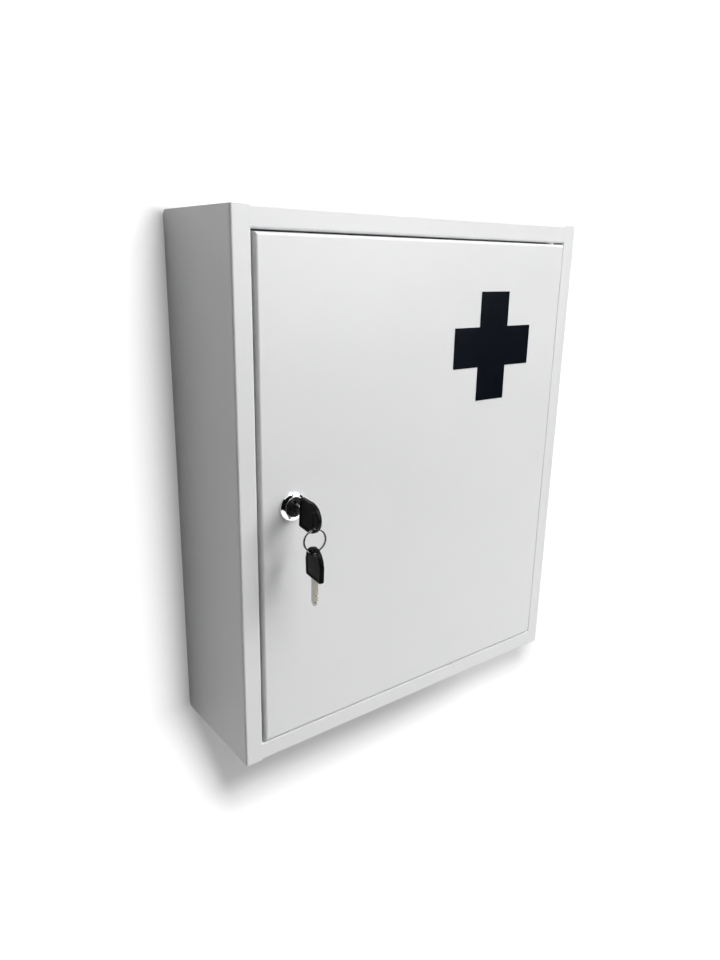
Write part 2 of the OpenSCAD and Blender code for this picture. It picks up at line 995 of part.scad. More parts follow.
// Split ring: two turns side by side, with a groove between them and the wire's two ends cut free
module key_ring() {
    inner = ring_d / 2 - ring_wire;
    outer = ring_d / 2;
    half = ring_t / 2;
    e = 0.15;
    end_cut = 0.5;
    color(chromed)
        translate(ring_top)
            rotate([0, 0, ring_yaw])
                translate([0, 0, -ring_r])
                    rotate([90, 0, 0])
                        difference() {
                            rotate_extrude()
                                polygon([
                                    [inner, -half + e], [inner + e, -half], [outer - e, -half], [outer, -half + e],
                                    [outer, -e], [outer - e, 0], [outer, e], [outer, half - e],
                                    [outer - e, half], [inner + e, half], [inner, half - e],
                                    [inner, e], [inner + e, 0], [inner, -e]
                                ]);
                            for (side = [-1, 1])
                                rotate(180 + side * 35)
                                    translate([inner - cut, -end_cut / 2, side > 0 ? 0 : -half - cut])
                                        cube([ring_wire + 2 * cut, end_cut, half + cut]);
                        }
}

case_wrapper();
side_left();
side_right();
shelf_upper();
shelf_lower();
hinge_plate_upper();
hinge_plate_lower();
hinge_pin_upper();
hinge_pin_lower();
door_stop_upper();
door_stop_lower();
buffer_upper();
buffer_lower();
door_pan();
door_cross();
hinge_bush_upper();
hinge_bush_lower();
lock_body();
lock_tooth_washer();
lock_nut();
lock_plug();
lock_wafers();
turn_limit_disc();
lock_cam();
cam_washer();
cam_screw();
key_blade();
key_bow();
key_ring();
spare_key_blade();
spare_key_bow();
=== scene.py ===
"""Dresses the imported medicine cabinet: paint, metal and plastic finishes, the moulded keys on
their wound ring, the lock's thread and nut, the filled seams of the frame, and a plain studio
with the cabinet on its wall."""
import json
import math

import bmesh
import bpy
from bmesh.types import BMEdge, BMVert
from mathutils import Matrix, Vector


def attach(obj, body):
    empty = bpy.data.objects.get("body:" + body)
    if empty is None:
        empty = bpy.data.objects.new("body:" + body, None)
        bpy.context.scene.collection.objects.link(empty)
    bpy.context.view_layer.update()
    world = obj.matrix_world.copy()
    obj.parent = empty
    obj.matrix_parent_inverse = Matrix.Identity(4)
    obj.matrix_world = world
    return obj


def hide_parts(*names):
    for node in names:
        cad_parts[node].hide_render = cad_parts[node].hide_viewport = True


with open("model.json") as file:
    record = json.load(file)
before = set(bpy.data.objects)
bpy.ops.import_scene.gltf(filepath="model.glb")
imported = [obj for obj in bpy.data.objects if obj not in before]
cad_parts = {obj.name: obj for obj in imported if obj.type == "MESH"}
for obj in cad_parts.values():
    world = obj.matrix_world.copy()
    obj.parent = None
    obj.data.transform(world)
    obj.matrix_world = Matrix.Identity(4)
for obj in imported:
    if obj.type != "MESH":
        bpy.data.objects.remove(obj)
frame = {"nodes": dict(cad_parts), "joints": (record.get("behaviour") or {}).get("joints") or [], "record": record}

nodes = frame["nodes"]
joints = {j["name"]: j for j in frame["joints"]}
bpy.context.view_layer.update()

MM = 0.001


# Camera. Its place is in metres, its turns in radians, its lens in millimetres.

CAMERA_PLACE = (-0.348756, -0.468267, 0.150309)
CAMERA_YAW = 0.6562
CAMERA_PITCH = 0.2895
CAMERA_ROLL = 0.0190
LENS = 27.447
SENSOR = 36
NEAREST = 0.01


def place_camera():
    camera = bpy.data.objects.new("camera", bpy.data.cameras.new("camera"))
    bpy.context.scene.collection.objects.link(camera)
    camera.data.lens = LENS
    camera.data.sensor_width = SENSOR
    camera.data.clip_start = NEAREST
    ahead = Vector((
        math.sin(CAMERA_YAW) * math.cos(CAMERA_PITCH),
        math.cos(CAMERA_YAW) * math.cos(CAMERA_PITCH),
        -math.sin(CAMERA_PITCH),
    ))
    aim = ahead.to_track_quat("-Z", "Y").to_matrix().to_4x4()
    roll = Matrix.Rotation(CAMERA_ROLL, 4, "Z")
    camera.matrix_world = Matrix.Translation(CAMERA_PLACE) @ aim @ roll
    bpy.context.scene.camera = camera


# Shader maths

class Value:
    """A socket in a finish, so that maths on it reads as plain arithmetic."""

    def __init__(self, tree, socket):
        self.tree, self.socket = tree, socket

    def maths(self, operation, *values):
        return self.tree.node("ShaderNodeMath", {"operation": operation}, dict(enumerate(values)))

    def __add__(self, other):
        return self.maths("ADD", self, other)

    __radd__ = __add__

    def __sub__(self, other):
        return self.maths("SUBTRACT", self, other)

    def __rsub__(self, other):
        return self.maths("SUBTRACT", other, self)

    def __mul__(self, other):
        return self.maths("MULTIPLY", self, other)

    __rmul__ = __mul__

    def __truediv__(self, other):
        return self.maths("DIVIDE", self, other)

    def __pow__(self, other):
        return self.maths("POWER", self, other)

    def at_least(self, least):
        return self.maths("MAXIMUM", self, least)

    def limited(self):
        """The value held between nought and one."""
        return self.tree.node("ShaderNodeClamp", {}, {"Value": self})

    def fading(self):
        """e to the power of minus the value."""
        return self.maths("EXPONENT", 0 - self)


class Tree:
    """The nodes of a material or of the world."""

    def __init__(self, owner):
        owner.use_nodes = True
        self.tree = owner.node_tree
        self.tree.nodes.clear()

    def node(self, kind, settings=None, inputs=None, output=0):
        """Adds a node, sets it up, feeds its inputs, and returns one of its outputs."""
        made = self.tree.nodes.new(kind)
        for name, setting in (settings or {}).items():
            if name == "stops":
                self.set_stops(made.color_ramp, setting)
            else:
                setattr(made, name, setting)
        for name, value in (inputs or {}).items():
            self.feed(made.inputs[name], value)
        return Value(self, made.outputs[output])

    def feed(self, socket, value):
        if isinstance(value, Value):
            self.tree.links.new(value.socket, socket)
        else:
            socket.default_value = value

    @staticmethod
    def set_stops(ramp, stops):
        """Sets a ramp's stops, each a position and a grey."""
        while len(ramp.elements) < len(stops):
            ramp.elements.new(0.5)
        for element, (position, grey) in zip(ramp.elements, stops):
            element.position = position
            element.color = (grey, grey, grey, 1)

    def also(self, value, output):
        """Another output of the node that a value comes from."""
        return Value(self, value.socket.node.outputs[output])

    def seen(self):
        """One where the camera sees a surface, straight or in metal or glass, and else nought."""
        straight = self.node("ShaderNodeLightPath", output="Is Camera Ray")
        in_metal = self.also(straight, "Is Glossy Ray")
        in_glass = self.also(straight, "Is Transmission Ray")
        return (straight + in_metal + in_glass).limited()

    def end(self, kind, shader):
        """Ends the tree in a material's or a world's output."""
        out = self.tree.nodes.new(kind)
        self.feed(out.inputs["Surface"], shader)


class Finish(Tree):
    """A material, with patterns measured in millimetres."""

    def __init__(self, name):
        self.material = bpy.data.materials.new(name)
        super().__init__(self.material)
        self.place = self.node("ShaderNodeTexCoord", output="Object")

    def noise(self, size_mm, detail=2.0, stretch=(1, 1, 1)):
        """Noise with features of about that size, longer along an axis with a stretch above 1."""
        scale = [1 / s for s in stretch]
        where = self.node("ShaderNodeMapping", {}, {"Vector": self.place, "Scale": scale})
        return self.node("ShaderNodeTexNoise", {}, {
            "Vector": where, "Scale": 1 / (size_mm * MM), "Detail": detail,
        }, output="Fac")

    def cells(self, size_mm):
        """Cells of about that size, each of its own grey."""
        colours = self.node("ShaderNodeTexVoronoi", {}, {
            "Vector": self.place, "Scale": 1 / (size_mm * MM),
        }, output="Color")
        return self.node("ShaderNodeRGBToBW", {}, {"Color": colours})

    def ramp(self, value, stops):
        return self.node("ShaderNodeValToRGB", {"stops": stops}, {"Fac": value})

    def mix(self, factor, first, second):
        """One colour passing into another. The node's colours are its inputs 6 and 7 and output 2."""
        return self.node("ShaderNodeMix", {"data_type": "RGBA"}, {
            0: factor, 6: (*first, 1), 7: (*second, 1),
        }, output=2)

    def bump(self, height, depth_mm, strength, under=None):
        inputs = {"Height": height, "Distance": depth_mm * MM, "Strength": strength}
        if under is not None:
            inputs["Normal"] = under
        return self.node("ShaderNodeBump", {}, inputs)

    def finish(self, **sockets):
        """Ends the material in a Principled shader with these sockets, _ standing for a space."""
        shader = self.node("ShaderNodeBsdfPrincipled", {}, {
            name.replace("_", " "): (*v, 1) if isinstance(v, tuple) else v
            for name, v in sockets.items()
        })
        self.end("ShaderNodeOutputMaterial", shader)
        return self.material


# Finishes

def powder_coat():
    """White powder coat: a fine orange peel over a slow drift in tone."""
    f = Finish("powder_coat")
    drift = f.noise(38, detail=3)
    fine = f.noise(2.2, detail=2)
    peel = f.bump(f.noise(1.3, detail=1.5), 0.012, 0.55)
    coarse = f.bump(f.noise(7, detail=1), 0.02, 0.35, under=peel)
    tone = f.mix(drift * 0.7 + fine * 0.3, (0.835, 0.84, 0.85), (0.885, 0.885, 0.885))
    return f.finish(
        Base_Color=tone, Roughness=0.3 + 0.1 * drift, Normal=coarse,
        Coat_Weight=0.2, Coat_Roughness=0.22, IOR=1.5,
    )


def zinc_plate():
    """Zinc plate on steel: small crystals and a faint rolled grain."""
    f = Finish("zinc_plate")
    crystals = f.cells(1.6)
    grain = f.noise(0.5, detail=2, stretch=(6, 1, 1))
    return f.finish(
        Base_Color=f.mix(crystals, (0.5, 0.51, 0.53), (0.68, 0.69, 0.71)), Metallic=1.0,
        Roughness=0.28 + 0.14 * grain, Normal=f.bump(grain, 0.004, 0.5),
    )


def lock_chrome():
    """Bright chrome with the faint haze of handling."""
    f = Finish("bright_chrome")
    haze = f.noise(4, detail=3)
    hair = f.noise(0.35, detail=2, stretch=(1, 1, 9))
    return f.finish(
        Base_Color=(0.8, 0.81, 0.83), Metallic=1.0, Roughness=0.05 + 0.07 * haze,
        Normal=f.bump(hair, 0.001, 0.3),
    )


def nickel_painted_dark():
    """Nickel on the plug, darkened near to black to paint in the dark it reflects, rubbed brighter here and there.
    """
    f = Finish("nickel_painted_dark")
    rub = f.ramp(f.noise(1.4, detail=3), [(0.45, 0), (0.7, 1)])
    return f.finish(
        # Painted reflection: the near-black base colour stands in for the dark that the plug mirrors.
        Base_Color=f.mix(rub, (0.03, 0.03, 0.034), (0.1, 0.1, 0.105)), Metallic=1.0,
        Roughness=0.24 + 0.12 * f.noise(0.6), Normal=f.bump(f.noise(0.3), 0.002, 0.5),
    )


def stamped_brass():
    """Brass of the wafers, stained unevenly."""
    f = Finish("stamped_brass")
    stain = f.noise(1.8, detail=3)
    return f.finish(
        Base_Color=f.mix(stain, (0.5, 0.34, 0.12), (0.78, 0.6, 0.3)), Metallic=1.0,
        Roughness=0.25 + 0.2 * stain, Normal=f.bump(f.noise(0.25), 0.003, 0.5),
    )


def nickel_plate(name, light, dark, roughness):
    """Nickel on key blades and the ring: a milled grain under uneven wear."""
    f = Finish(name)
    wear = f.noise(2.5, detail=3)
    mill = f.noise(0.22, detail=2, stretch=(1, 1, 7))
    return f.finish(
        Base_Color=f.mix(wear, dark, light), Metallic=1.0, Roughness=roughness + 0.12 * wear,
        Normal=f.bump(mill, 0.004, 0.45),
    )


def moulded_black():
    """Black moulded plastic with a fine spark-eroded texture."""
    f = Finish("moulded_black")
    grain = f.noise(0.28, detail=2)
    handled = f.noise(5, detail=2)
    return f.finish(
        Base_Color=f.mix(handled, (0.0025, 0.0026, 0.0035), (0.006, 0.0062, 0.0075)),
        Roughness=0.18 + 0.12 * handled, Normal=f.bump(grain, 0.006, 0.5), IOR=1.15,
    )


def cut_film():
    """Near-black film with a slight blue, laid on the paint so that its peel shows through."""
    f = Finish("cut_film")
    peel = f.noise(1.3, detail=1.5)
    drift = f.noise(20, detail=2)
    return f.finish(
        Base_Color=f.mix(drift, (0.0022, 0.0035, 0.007), (0.004, 0.006, 0.011)),
        Roughness=0.2 + 0.06 * drift, Normal=f.bump(peel, 0.006, 0.4), IOR=1.25,
    )


def black_rubber():
    """Black rubber of the buffers, greyed by dust."""
    f = Finish("black_rubber")
    dust = f.noise(1.2, detail=4)
    return f.finish(
        Base_Color=f.mix(dust, (0.02, 0.02, 0.021), (0.05, 0.05, 0.05)),
        Roughness=0.65 + 0.2 * dust, Normal=f.bump(dust, 0.02, 0.5),
    )


def natural_nylon():
    """Undyed nylon of the hinge bushes, slightly cloudy."""
    f = Finish("natural_nylon")
    cloud = f.noise(2, detail=2)
    return f.finish(
        Base_Color=f.mix(cloud, (0.7, 0.67, 0.58), (0.8, 0.78, 0.7)),
        Roughness=0.4 + 0.1 * cloud, Normal=f.bump(f.noise(0.4), 0.006, 0.4),
    )


# Pieces. A round form has this many sides, and an edge is sharp from this many degrees.

ROUND_STEPS = 96
SHARP = 35


def finished(piece, body, slot, *replaced):
    """Gives a piece its finish and its body, and lets it stand for CAD nodes."""
    piece.data.materials.clear()
    piece.data.materials.append(FINISHES[slot])
    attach(piece, body)
    if replaced:
        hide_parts(*replaced)


def turn(degrees, axis):
    return Matrix.Rotation(math.radians(degrees), 4, axis)


def mesh_object(name, bm):
    mesh = bpy.data.meshes.new(name)
    bm.to_mesh(mesh)
    bm.free()
    piece = bpy.data.objects.new(name, mesh)
    bpy.context.scene.collection.objects.link(piece)
    return piece


def baked(piece):
    """Bakes a piece's modifiers into its mesh."""
    bpy.context.view_layer.update()
    graph = bpy.context.evaluated_depsgraph_get()
    mesh = bpy.data.meshes.new_from_object(piece.evaluated_get(graph))
    piece.modifiers.clear()
    piece.data = mesh
    return piece


def smooth_up_to(piece, angle):
    piece.data.shade_smooth()
    piece.data.set_sharp_from_angle(angle=math.radians(angle))
    return piece


def shaped_by(piece, operation, *tools):
    """Cuts, joins or trims a piece with other shapes, which are used up."""
    for tool in tools:
        cut = piece.modifiers.new("cut", "BOOLEAN")
        cut.object = tool
        cut.operation = operation
        cut.solver = "EXACT"
    baked(piece)
    for tool in tools:
        bpy.data.objects.remove(tool)


def rounded(piece, width_mm):
    """Rounds the sharp edges, and shades the flats flat."""
    piece.data.shade_smooth()
    bevel = piece.modifiers.new("round", "BEVEL")
    bevel.width = width_mm * MM
    bevel.segments = 2
    bevel.limit_method = "ANGLE"
    bevel.angle_limit = math.radians(SHARP)
    even = piece.modifiers.new("even", "WEIGHTED_NORMAL")
    even.weight = 100
    return baked(piece)


def bevelled(bm, geom, width_mm, segments, affect="EDGES"):
    bmesh.ops.bevel(
        bm, geom=geom, offset=width_mm * MM, offset_type="OFFSET", segments=segments,
        profile=0.5, material=-1, affect=affect,
    )


def only(kind, geom):
    """The corners or the edges in what an operator gives back."""
    return [g for g in geom if isinstance(g, kind)]


def cut_off(bm, point, outwards):
    """Cuts off what lies past a plane, and gives the edges of the cut."""
    cut = bmesh.ops.bisect_plane(
        bm, geom=bm.verts[:] + bm.edges[:] + bm.faces[:],
        plane_co=point, plane_no=outwards, clear_outer=True,
    )
    return only(BMEdge, cut["geom_cut"])


def cut_and_closed(bm, point, outwards):
    """Cuts off what lies past a plane, and fills the cut."""
    bmesh.ops.holes_fill(bm, edges=cut_off(bm, point, outwards))


def lies_level(edge):
    return abs(edge.verts[0].co.z - edge.verts[1].co.z) < 0.1 * MM


# Keys. A key is made with its blade's root at the origin and its bow towards +Z, in millimetres.

BOW_R = 9.85
BOW_STRAIGHT = 11.3
BOW_T = 3.2
BOW_RIM = 1.8
BOW_PANEL = 0.35
BOW_CORNER = 1.3
BOW_EDGE = 0.6
PANEL_CORNER = 0.6
MOULD_EDGE = 0.12
SLOT_R = 3.2
SLOT_HALF = 4.2
SLOT_AT = 15.9
SLOT_TOP = SLOT_AT + SLOT_R
SLOT_LOW = 14.9
SPARE_SLOT_LOW = 15.9
SLOT_RIM = 1.1
SLOT_STEPS = 48
KEY_OUT = 9.3
KEY_DROOP = 5.0
RING_YAW = -7.0
RING_D = 16.0
RING_WIRE = 1.2
RING_T = 1.4
RING_R = (RING_D - RING_WIRE) / 2
RING_TURNS = 1.94
RING_STEPS = 180
RING_START = 150
WIRE_FIT = 0.98
WIRE_CORNER = 0.2
SEAT_GAP = 0.45

LOCK_AXIS = Vector(joints["lock_turn"]["pos_m"])
RING_TOP = Vector(joints["ring_swing"]["pos_m"])


def key_in_lock():
    """Places a key in the lock: the bow towards the front, drooping a little."""
    out = turn(90, "X") @ turn(KEY_DROOP, "X")
    return Matrix.Translation(LOCK_AXIS) @ out @ Matrix.Translation((0, 0, KEY_OUT * MM))


def under_ring_top(down_mm):
    """Places a part of the hanging keys below the ring's top, square to the ring."""
    return Matrix.Translation(RING_TOP) @ turn(RING_YAW, "Z") @ Matrix.Translation((0, 0, -down_mm * MM))


def key_on_ring():
    """Places a key that hangs from the bottom of the ring by its slot."""
    return under_ring_top(2 * RING_R + SLOT_AT + SLOT_R - RING_WIRE / 2 - SEAT_GAP)


def upright_prism(bm, thickness):
    """Stands a flat outline in the key's plane and thickens it about the middle."""
    bmesh.ops.rotate(bm, verts=bm.verts, matrix=turn(90, "Y") @ turn(90, "Z"))
    grown = bmesh.ops.extrude_face_region(bm, geom=bm.faces[:])
    bmesh.ops.translate(bm, verts=only(BMVert, grown["geom"]), vec=(thickness * MM, 0, 0))
    bmesh.ops.translate(bm, verts=bm.verts, vec=(-thickness * MM / 2, 0, 0))
    bmesh.ops.recalc_face_normals(bm, faces=bm.faces)


def bow_prism(inset, thickness, corner):
    """The bow's outline, a half circle on a rectangle, pulled in from its edge."""
    bm = bmesh.new()
    bmesh.ops.create_circle(bm, cap_ends=True, segments=ROUND_STEPS, radius=(BOW_R - inset) * MM)
    grown = bmesh.ops.extrude_edge_only(bm, edges=cut_off(bm, (0, 0, 0), (0, -1, 0)))
    low = only(BMVert, grown["geom"])
    bmesh.ops.translate(bm, verts=low, vec=(0, -(BOW_STRAIGHT - inset) * MM, 0))
    bmesh.ops.dissolve_faces(bm, faces=bm.faces)
    bevelled(bm, low, corner, 6, "VERTICES")
    bmesh.ops.translate(bm, verts=bm.verts, vec=(0, BOW_STRAIGHT * MM, 0))
    upright_prism(bm, thickness)
    return bm


def bow_blank():
    """The bow before its slot and its panels, with soft edges."""
    bm = bow_prism(0, BOW_T, BOW_CORNER)
    flats = {f for f in bm.faces if abs(f.normal.x) > 0.9}
    bevelled(bm, [e for e in bm.edges if len(flats & set(e.link_faces)) == 1], BOW_EDGE, 5)
    return bm


def slot_prism(low, top, thickness):
    """The slot for the ring: a circle drawn out sideways."""
    bm = bmesh.new()
    bmesh.ops.create_circle(bm, cap_ends=True, segments=SLOT_STEPS, radius=(top - low) / 2 * MM)
    bmesh.ops.rotate(bm, verts=bm.verts, matrix=turn(180 / SLOT_STEPS, "Z"))
    for side in (-1, 1):
        half = [v for v in bm.verts if v.co.x * side > 0]
        bmesh.ops.translate(bm, verts=half, vec=(side * SLOT_HALF * MM, 0, 0))
    bmesh.ops.translate(bm, verts=bm.verts, vec=(0, (low + top) / 2 * MM, 0))
    upright_prism(bm, thickness)
    return mesh_object("slot_form", bm)


def moulded_bow(name, where, slot_low):
    """A bow with its slot, and a sunk panel on each face that leaves a rim round the slot."""
    bow = mesh_object(name, bow_blank())
    panels = []
    for side in (-1, 1):
        panel = mesh_object("panel_form", bow_prism(BOW_RIM, 2 * BOW_PANEL, PANEL_CORNER))
        shaped_by(panel, "DIFFERENCE", slot_prism(slot_low - SLOT_RIM, SLOT_TOP + SLOT_RIM, BOW_T))
        panel.data.transform(Matrix.Translation((side * BOW_T / 2 * MM, 0, 0)))
        panels.append(panel)
    shaped_by(bow, "DIFFERENCE", slot_prism(slot_low, SLOT_TOP, 2 * BOW_T), *panels)
    rounded(bow, MOULD_EDGE)
    bow.data.transform(where)
    return bow


def wound_ring():
    """Split ring: one flat wire wound nearly twice, its ends cut square."""
    wire_w = RING_T / 2
    rise = wire_w * RING_TURNS / 2 * MM
    bm = bmesh.new()
    bmesh.ops.create_grid(bm, x_segments=1, y_segments=1, size=0.5)
    bmesh.ops.scale(bm, verts=bm.verts, vec=(RING_WIRE * MM, wire_w * WIRE_FIT * MM, 1))
    bevelled(bm, bm.verts[:], WIRE_CORNER, 3, "VERTICES")
    bmesh.ops.rotate(bm, verts=bm.verts, matrix=turn(90, "X"))
    bmesh.ops.translate(bm, verts=bm.verts, vec=(RING_R * MM, 0, -rise / 2))
    bmesh.ops.spin(
        bm, geom=bm.faces[:], cent=(0, 0, 0), axis=(0, 0, 1), dvec=(0, 0, rise / RING_STEPS),
        angle=2 * math.pi * RING_TURNS, steps=RING_STEPS, use_merge=False,
    )
    bmesh.ops.recalc_face_normals(bm, faces=bm.faces)
    ring = mesh_object("key_ring_wound", bm)
    ring.data.transform(under_ring_top(RING_R) @ turn(90, "X") @ turn(RING_START, "Z"))
    return smooth_up_to(ring, 60)


# Lock. It is made with the door's face at the origin and its axis towards +Z, in millimetres.

COLLAR_R = 10.0
COLLAR_H = 2.6
COLLAR_STEPS = 128
RECESS_R = 6.6
RECESS_Z = 0.7
BORE_R = 5.25
BORE_PAST = 1.0
LUG_R = 6.25
LUG_LAP = 0.1
DISC_T = 1.0
BARREL_R = 8.0
BARREL_L = 18.0
BARREL_FLATS = 13.8
SHEET_T = 1.0
WASHER_T = 0.8
NUT_T = 3.0
NUT_FLATS = 19.0
NUT_CHAMFER = 0.75
NUT_PLAY = 0.05
METAL_EDGE = 0.1
THREAD_PITCH = 1.0
THREAD_RIDGE = 0.22
THREAD_SPREAD = 0.42
THREAD_SUNK = 0.2
THREAD_STEPS = 48

# The collar's section, radius and height: bore, neck through the sheet, dome, rolled rim, recess.
COLLAR_SECTION = (
    (BORE_R, -SHEET_T), (BARREL_FLATS / 2, -SHEET_T), (BARREL_FLATS / 2, 0), (COLLAR_R, 0),
    (COLLAR_R, 0.2), (9.86, 0.62), (9.6, 1.05), (9.22, 1.47), (8.75, 1.86), (8.2, 2.2), (7.65, 2.45),
    (7.25, COLLAR_H), (6.98, 2.52), (6.75, 2.34), (RECESS_R, 2.1), (RECESS_R, RECESS_Z),
    (BORE_R, RECESS_Z),
)


def in_door():
    """Places a part of the lock: its axis towards the front."""
    return Matrix.Translation(LOCK_AXIS) @ turn(90, "X")


def cut_flats(bm):
    """Cuts the barrel's two flats."""
    for side in (-1, 1):
        cut_and_closed(bm, (side * BARREL_FLATS / 2 * MM, 0, 0), (side, 0, 0))


def barrel_thread():
    """The thread's crest, wound round the barrel and broken by its two flats."""
    bottom = -BARREL_L + 0.5 * THREAD_PITCH
    turns = (BARREL_L - SHEET_T - WASHER_T - THREAD_PITCH) / THREAD_PITCH
    steps = round(turns * THREAD_STEPS)
    bm = bmesh.new()
    bmesh.ops.create_circle(bm, cap_ends=True, segments=3, radius=1.0)
    bmesh.ops.rotate(bm, verts=bm.verts, matrix=turn(-90, "Z"))
    bmesh.ops.scale(bm, verts=bm.verts, vec=(
        THREAD_RIDGE * (1 - THREAD_SUNK) * MM, THREAD_PITCH * THREAD_SPREAD * MM, 1,
    ))
    bmesh.ops.rotate(bm, verts=bm.verts, matrix=turn(90, "X"))
    bmesh.ops.translate(bm, verts=bm.verts, vec=(
        (BARREL_R + THREAD_RIDGE * THREAD_SUNK) * MM, 0, bottom * MM,
    ))
    bmesh.ops.spin(
        bm, geom=bm.faces[:], cent=(0, 0, 0), axis=(0, 0, 1), angle=2 * math.pi * turns, steps=steps,
        dvec=(0, 0, THREAD_PITCH * turns / steps * MM), use_merge=False,
    )
    cut_flats(bm)
    bmesh.ops.recalc_face_normals(bm, faces=bm.faces)
    thread = mesh_object("barrel_thread", bm)
    thread.data.transform(in_door())
    return smooth_up_to(thread, 40)


def round_bar(radius, low, top, segments=ROUND_STEPS):
    """A round or many-sided bar between two heights on the lock's axis."""
    bm = bmesh.new()
    bmesh.ops.create_cone(
        bm, cap_ends=True, segments=segments, radius1=radius * MM, radius2=radius * MM,
        depth=(top - low) * MM,
    )
    bmesh.ops.translate(bm, verts=bm.verts, vec=(0, 0, (low + top) / 2 * MM))
    return bm


def flatted_bar(low, top):
    """The barrel's outline, round with two flats, between two heights."""
    bm = round_bar(BARREL_R, low, top)
    cut_flats(bm)
    bmesh.ops.recalc_face_normals(bm, faces=bm.faces)
    return bm


def bored(piece, radius, low, top):
    """Bores a hole along the lock's axis, past both heights."""
    shaped_by(piece, "DIFFERENCE", mesh_object("bore", round_bar(radius, low - BORE_PAST, top + BORE_PAST)))


def lock_collar():
    """The collar, turned from bar: a low dome with a rolled rim, sunk in the middle for the plug."""
    bm = bmesh.new()
    points = [bm.verts.new((r * MM, 0, z * MM)) for r, z in COLLAR_SECTION]
    edges = [bm.edges.new((a, b)) for a, b in zip(points, points[1:] + points[:1])]
    bmesh.ops.spin(
        bm, geom=edges, cent=(0, 0, 0), axis=(0, 0, 1), dvec=(0, 0, 0), angle=2 * math.pi,
        steps=COLLAR_STEPS, use_merge=True,
    )
    bmesh.ops.remove_doubles(bm, verts=bm.verts, dist=0.001 * MM)
    bmesh.ops.recalc_face_normals(bm, faces=bm.faces)
    collar = mesh_object("collar_turned", bm)
    collar.data.transform(in_door())
    return smooth_up_to(collar, 48)


def stop_lug():
    """The lug at the barrel's end that stops the turning disc: a quarter of a short bored bar."""
    low, top = -BARREL_L - DISC_T, -BARREL_L + LUG_LAP
    lug = mesh_object("lug", flatted_bar(low, top))
    bored(lug, LUG_R, low, top)
    bm = bmesh.new()
    bm.from_mesh(lug.data)
    for side in (-1, 1):
        cut_and_closed(bm, (0, 0, 0), (side, -1, 0))
    bm.to_mesh(lug.data)
    bm.free()
    return lug


def lock_barrel():
    """The barrel behind the collar, bored for the plug, with its lug."""
    barrel = mesh_object("barrel_bored", flatted_bar(-BARREL_L, -SHEET_T))
    bored(barrel, BORE_R, -BARREL_L, -SHEET_T)
    shaped_by(barrel, "UNION", stop_lug())
    barrel.data.transform(in_door())
    return rounded(barrel, METAL_EDGE)


def chamfered_nut():
    """Six-sided nut, its corners turned off on both faces."""
    low = -SHEET_T - WASHER_T - NUT_T
    top = low + NUT_T
    corner = NUT_FLATS / 2 / math.cos(math.radians(30))
    turned = round_bar(corner, low, top)
    bevelled(turned, [e for e in turned.edges if lies_level(e)], NUT_CHAMFER, 2)
    nut = mesh_object("nut_chamfered", round_bar(corner, low, top, 6))
    shaped_by(nut, "INTERSECT", mesh_object("turning", turned))
    bored(nut, BARREL_R + NUT_PLAY, low, top)
    nut.data.transform(in_door() @ turn(30, "Z"))
    return rounded(nut, METAL_EDGE)


# Frame. The case and the fill of a seam are given in millimetres.

CASE_HALF_W = 150.0
CASE_HALF_H = 180.0
CASE_D = 90.0
FRAME_W = 13.0
SEAM_W = 2.1
SEAM_D = 1.2
SEAM_L = FRAME_W - 0.1
SEAM_IN = 0.75
SEAM_BACK = 0.57
SEAM_ROUND = 1.15
SEAM_EDGE = 0.03


def filled_seam(side, end):
    """The fill of one seam, its two ends rounded back as the strips' folds are."""
    bm = bmesh.new()
    bmesh.ops.create_cube(bm, size=MM)
    bmesh.ops.scale(bm, verts=bm.verts, vec=(SEAM_W, SEAM_D, SEAM_L))
    bmesh.ops.translate(bm, verts=bm.verts, vec=(
        side * (CASE_HALF_W - FRAME_W + SEAM_IN) * MM,
        (-CASE_D + SEAM_BACK) * MM,
        end * (CASE_HALF_H - FRAME_W / 2) * MM,
    ))
    front = [e for e in bm.edges if max(v.co.y for v in e.verts) < (-CASE_D + SEAM_BACK) * MM]
    bevelled(bm, [e for e in front if lies_level(e)], SEAM_ROUND, 5)
    return bm


def filled_seams():
    """Weld dressed flush where the upright flanges meet the level ones, at the four corners."""
    whole = bmesh.new()
    for side in (-1, 1):
        for end in (-1, 1):
            form = bpy.data.meshes.new("seam_form")
            seam = filled_seam(side, end)
            seam.to_mesh(form)
            seam.free()
            whole.from_mesh(form)
            bpy.data.meshes.remove(form)
    return rounded(mesh_object("filled_seams", whole), SEAM_EDGE)


# Stage. Sizes and places are in metres, powers in watts.

WALL_HOLE = (0.1496, 0.1785)
WALL_REACH = (3.2, 2.4)
WALL_BEHIND = 0.0002
WALL_GREY = 0.52
FLOOR_HALF = 4
FLOOR_HEIGHT = -1.2
FLOOR_GREY = 0.7
CLOTH_GREY = 0.015

# The painted shadow on the wall, a dip in its own light: the patch that it surrounds, how far its left
# edge leans out below, where it starts on the right and underneath, how fast it fades on each side, and how far,
# deep and steep it is.
SHADE_HALF_W, SHADE_HALF_H = 0.148, 0.178
SHADE_LEAN = 0.32
SHADE_RIGHT, RIGHT_RATE = 0.235, 0.5
SHADE_UNDER, UNDER_RATE = 0.084, 0.6
ABOVE_RATE = 3
SHADE_REACH = 0.021
SHADE_DEPTH = 0.8
SHADE_FALL = 1.3

# Black cloths: half width and height, turn about the upright, place.
CLOTHS = (
    ((9, 2.6), 0, (0, -2.4, 0)),
    ((1.1, 2.6), 90, (-2.6, -1.3, 0)),
)

# Lamps: place, width, power.
LAMPS = {
    "high": ((0.272, -1.064, 1.819), 1.0, 20.5),
    "right": ((1.216, -1.266, 1.204), 1.2, 25.5),
    "low_right": ((1.034, -1.841, 0.365), 1.0, 9.2),
    "rear": ((0.4, 1.4, 0.8), 1.2, 16.0),
}
LAMP_AIM = (0, -0.05, 0)
AMBIENT = 0.04


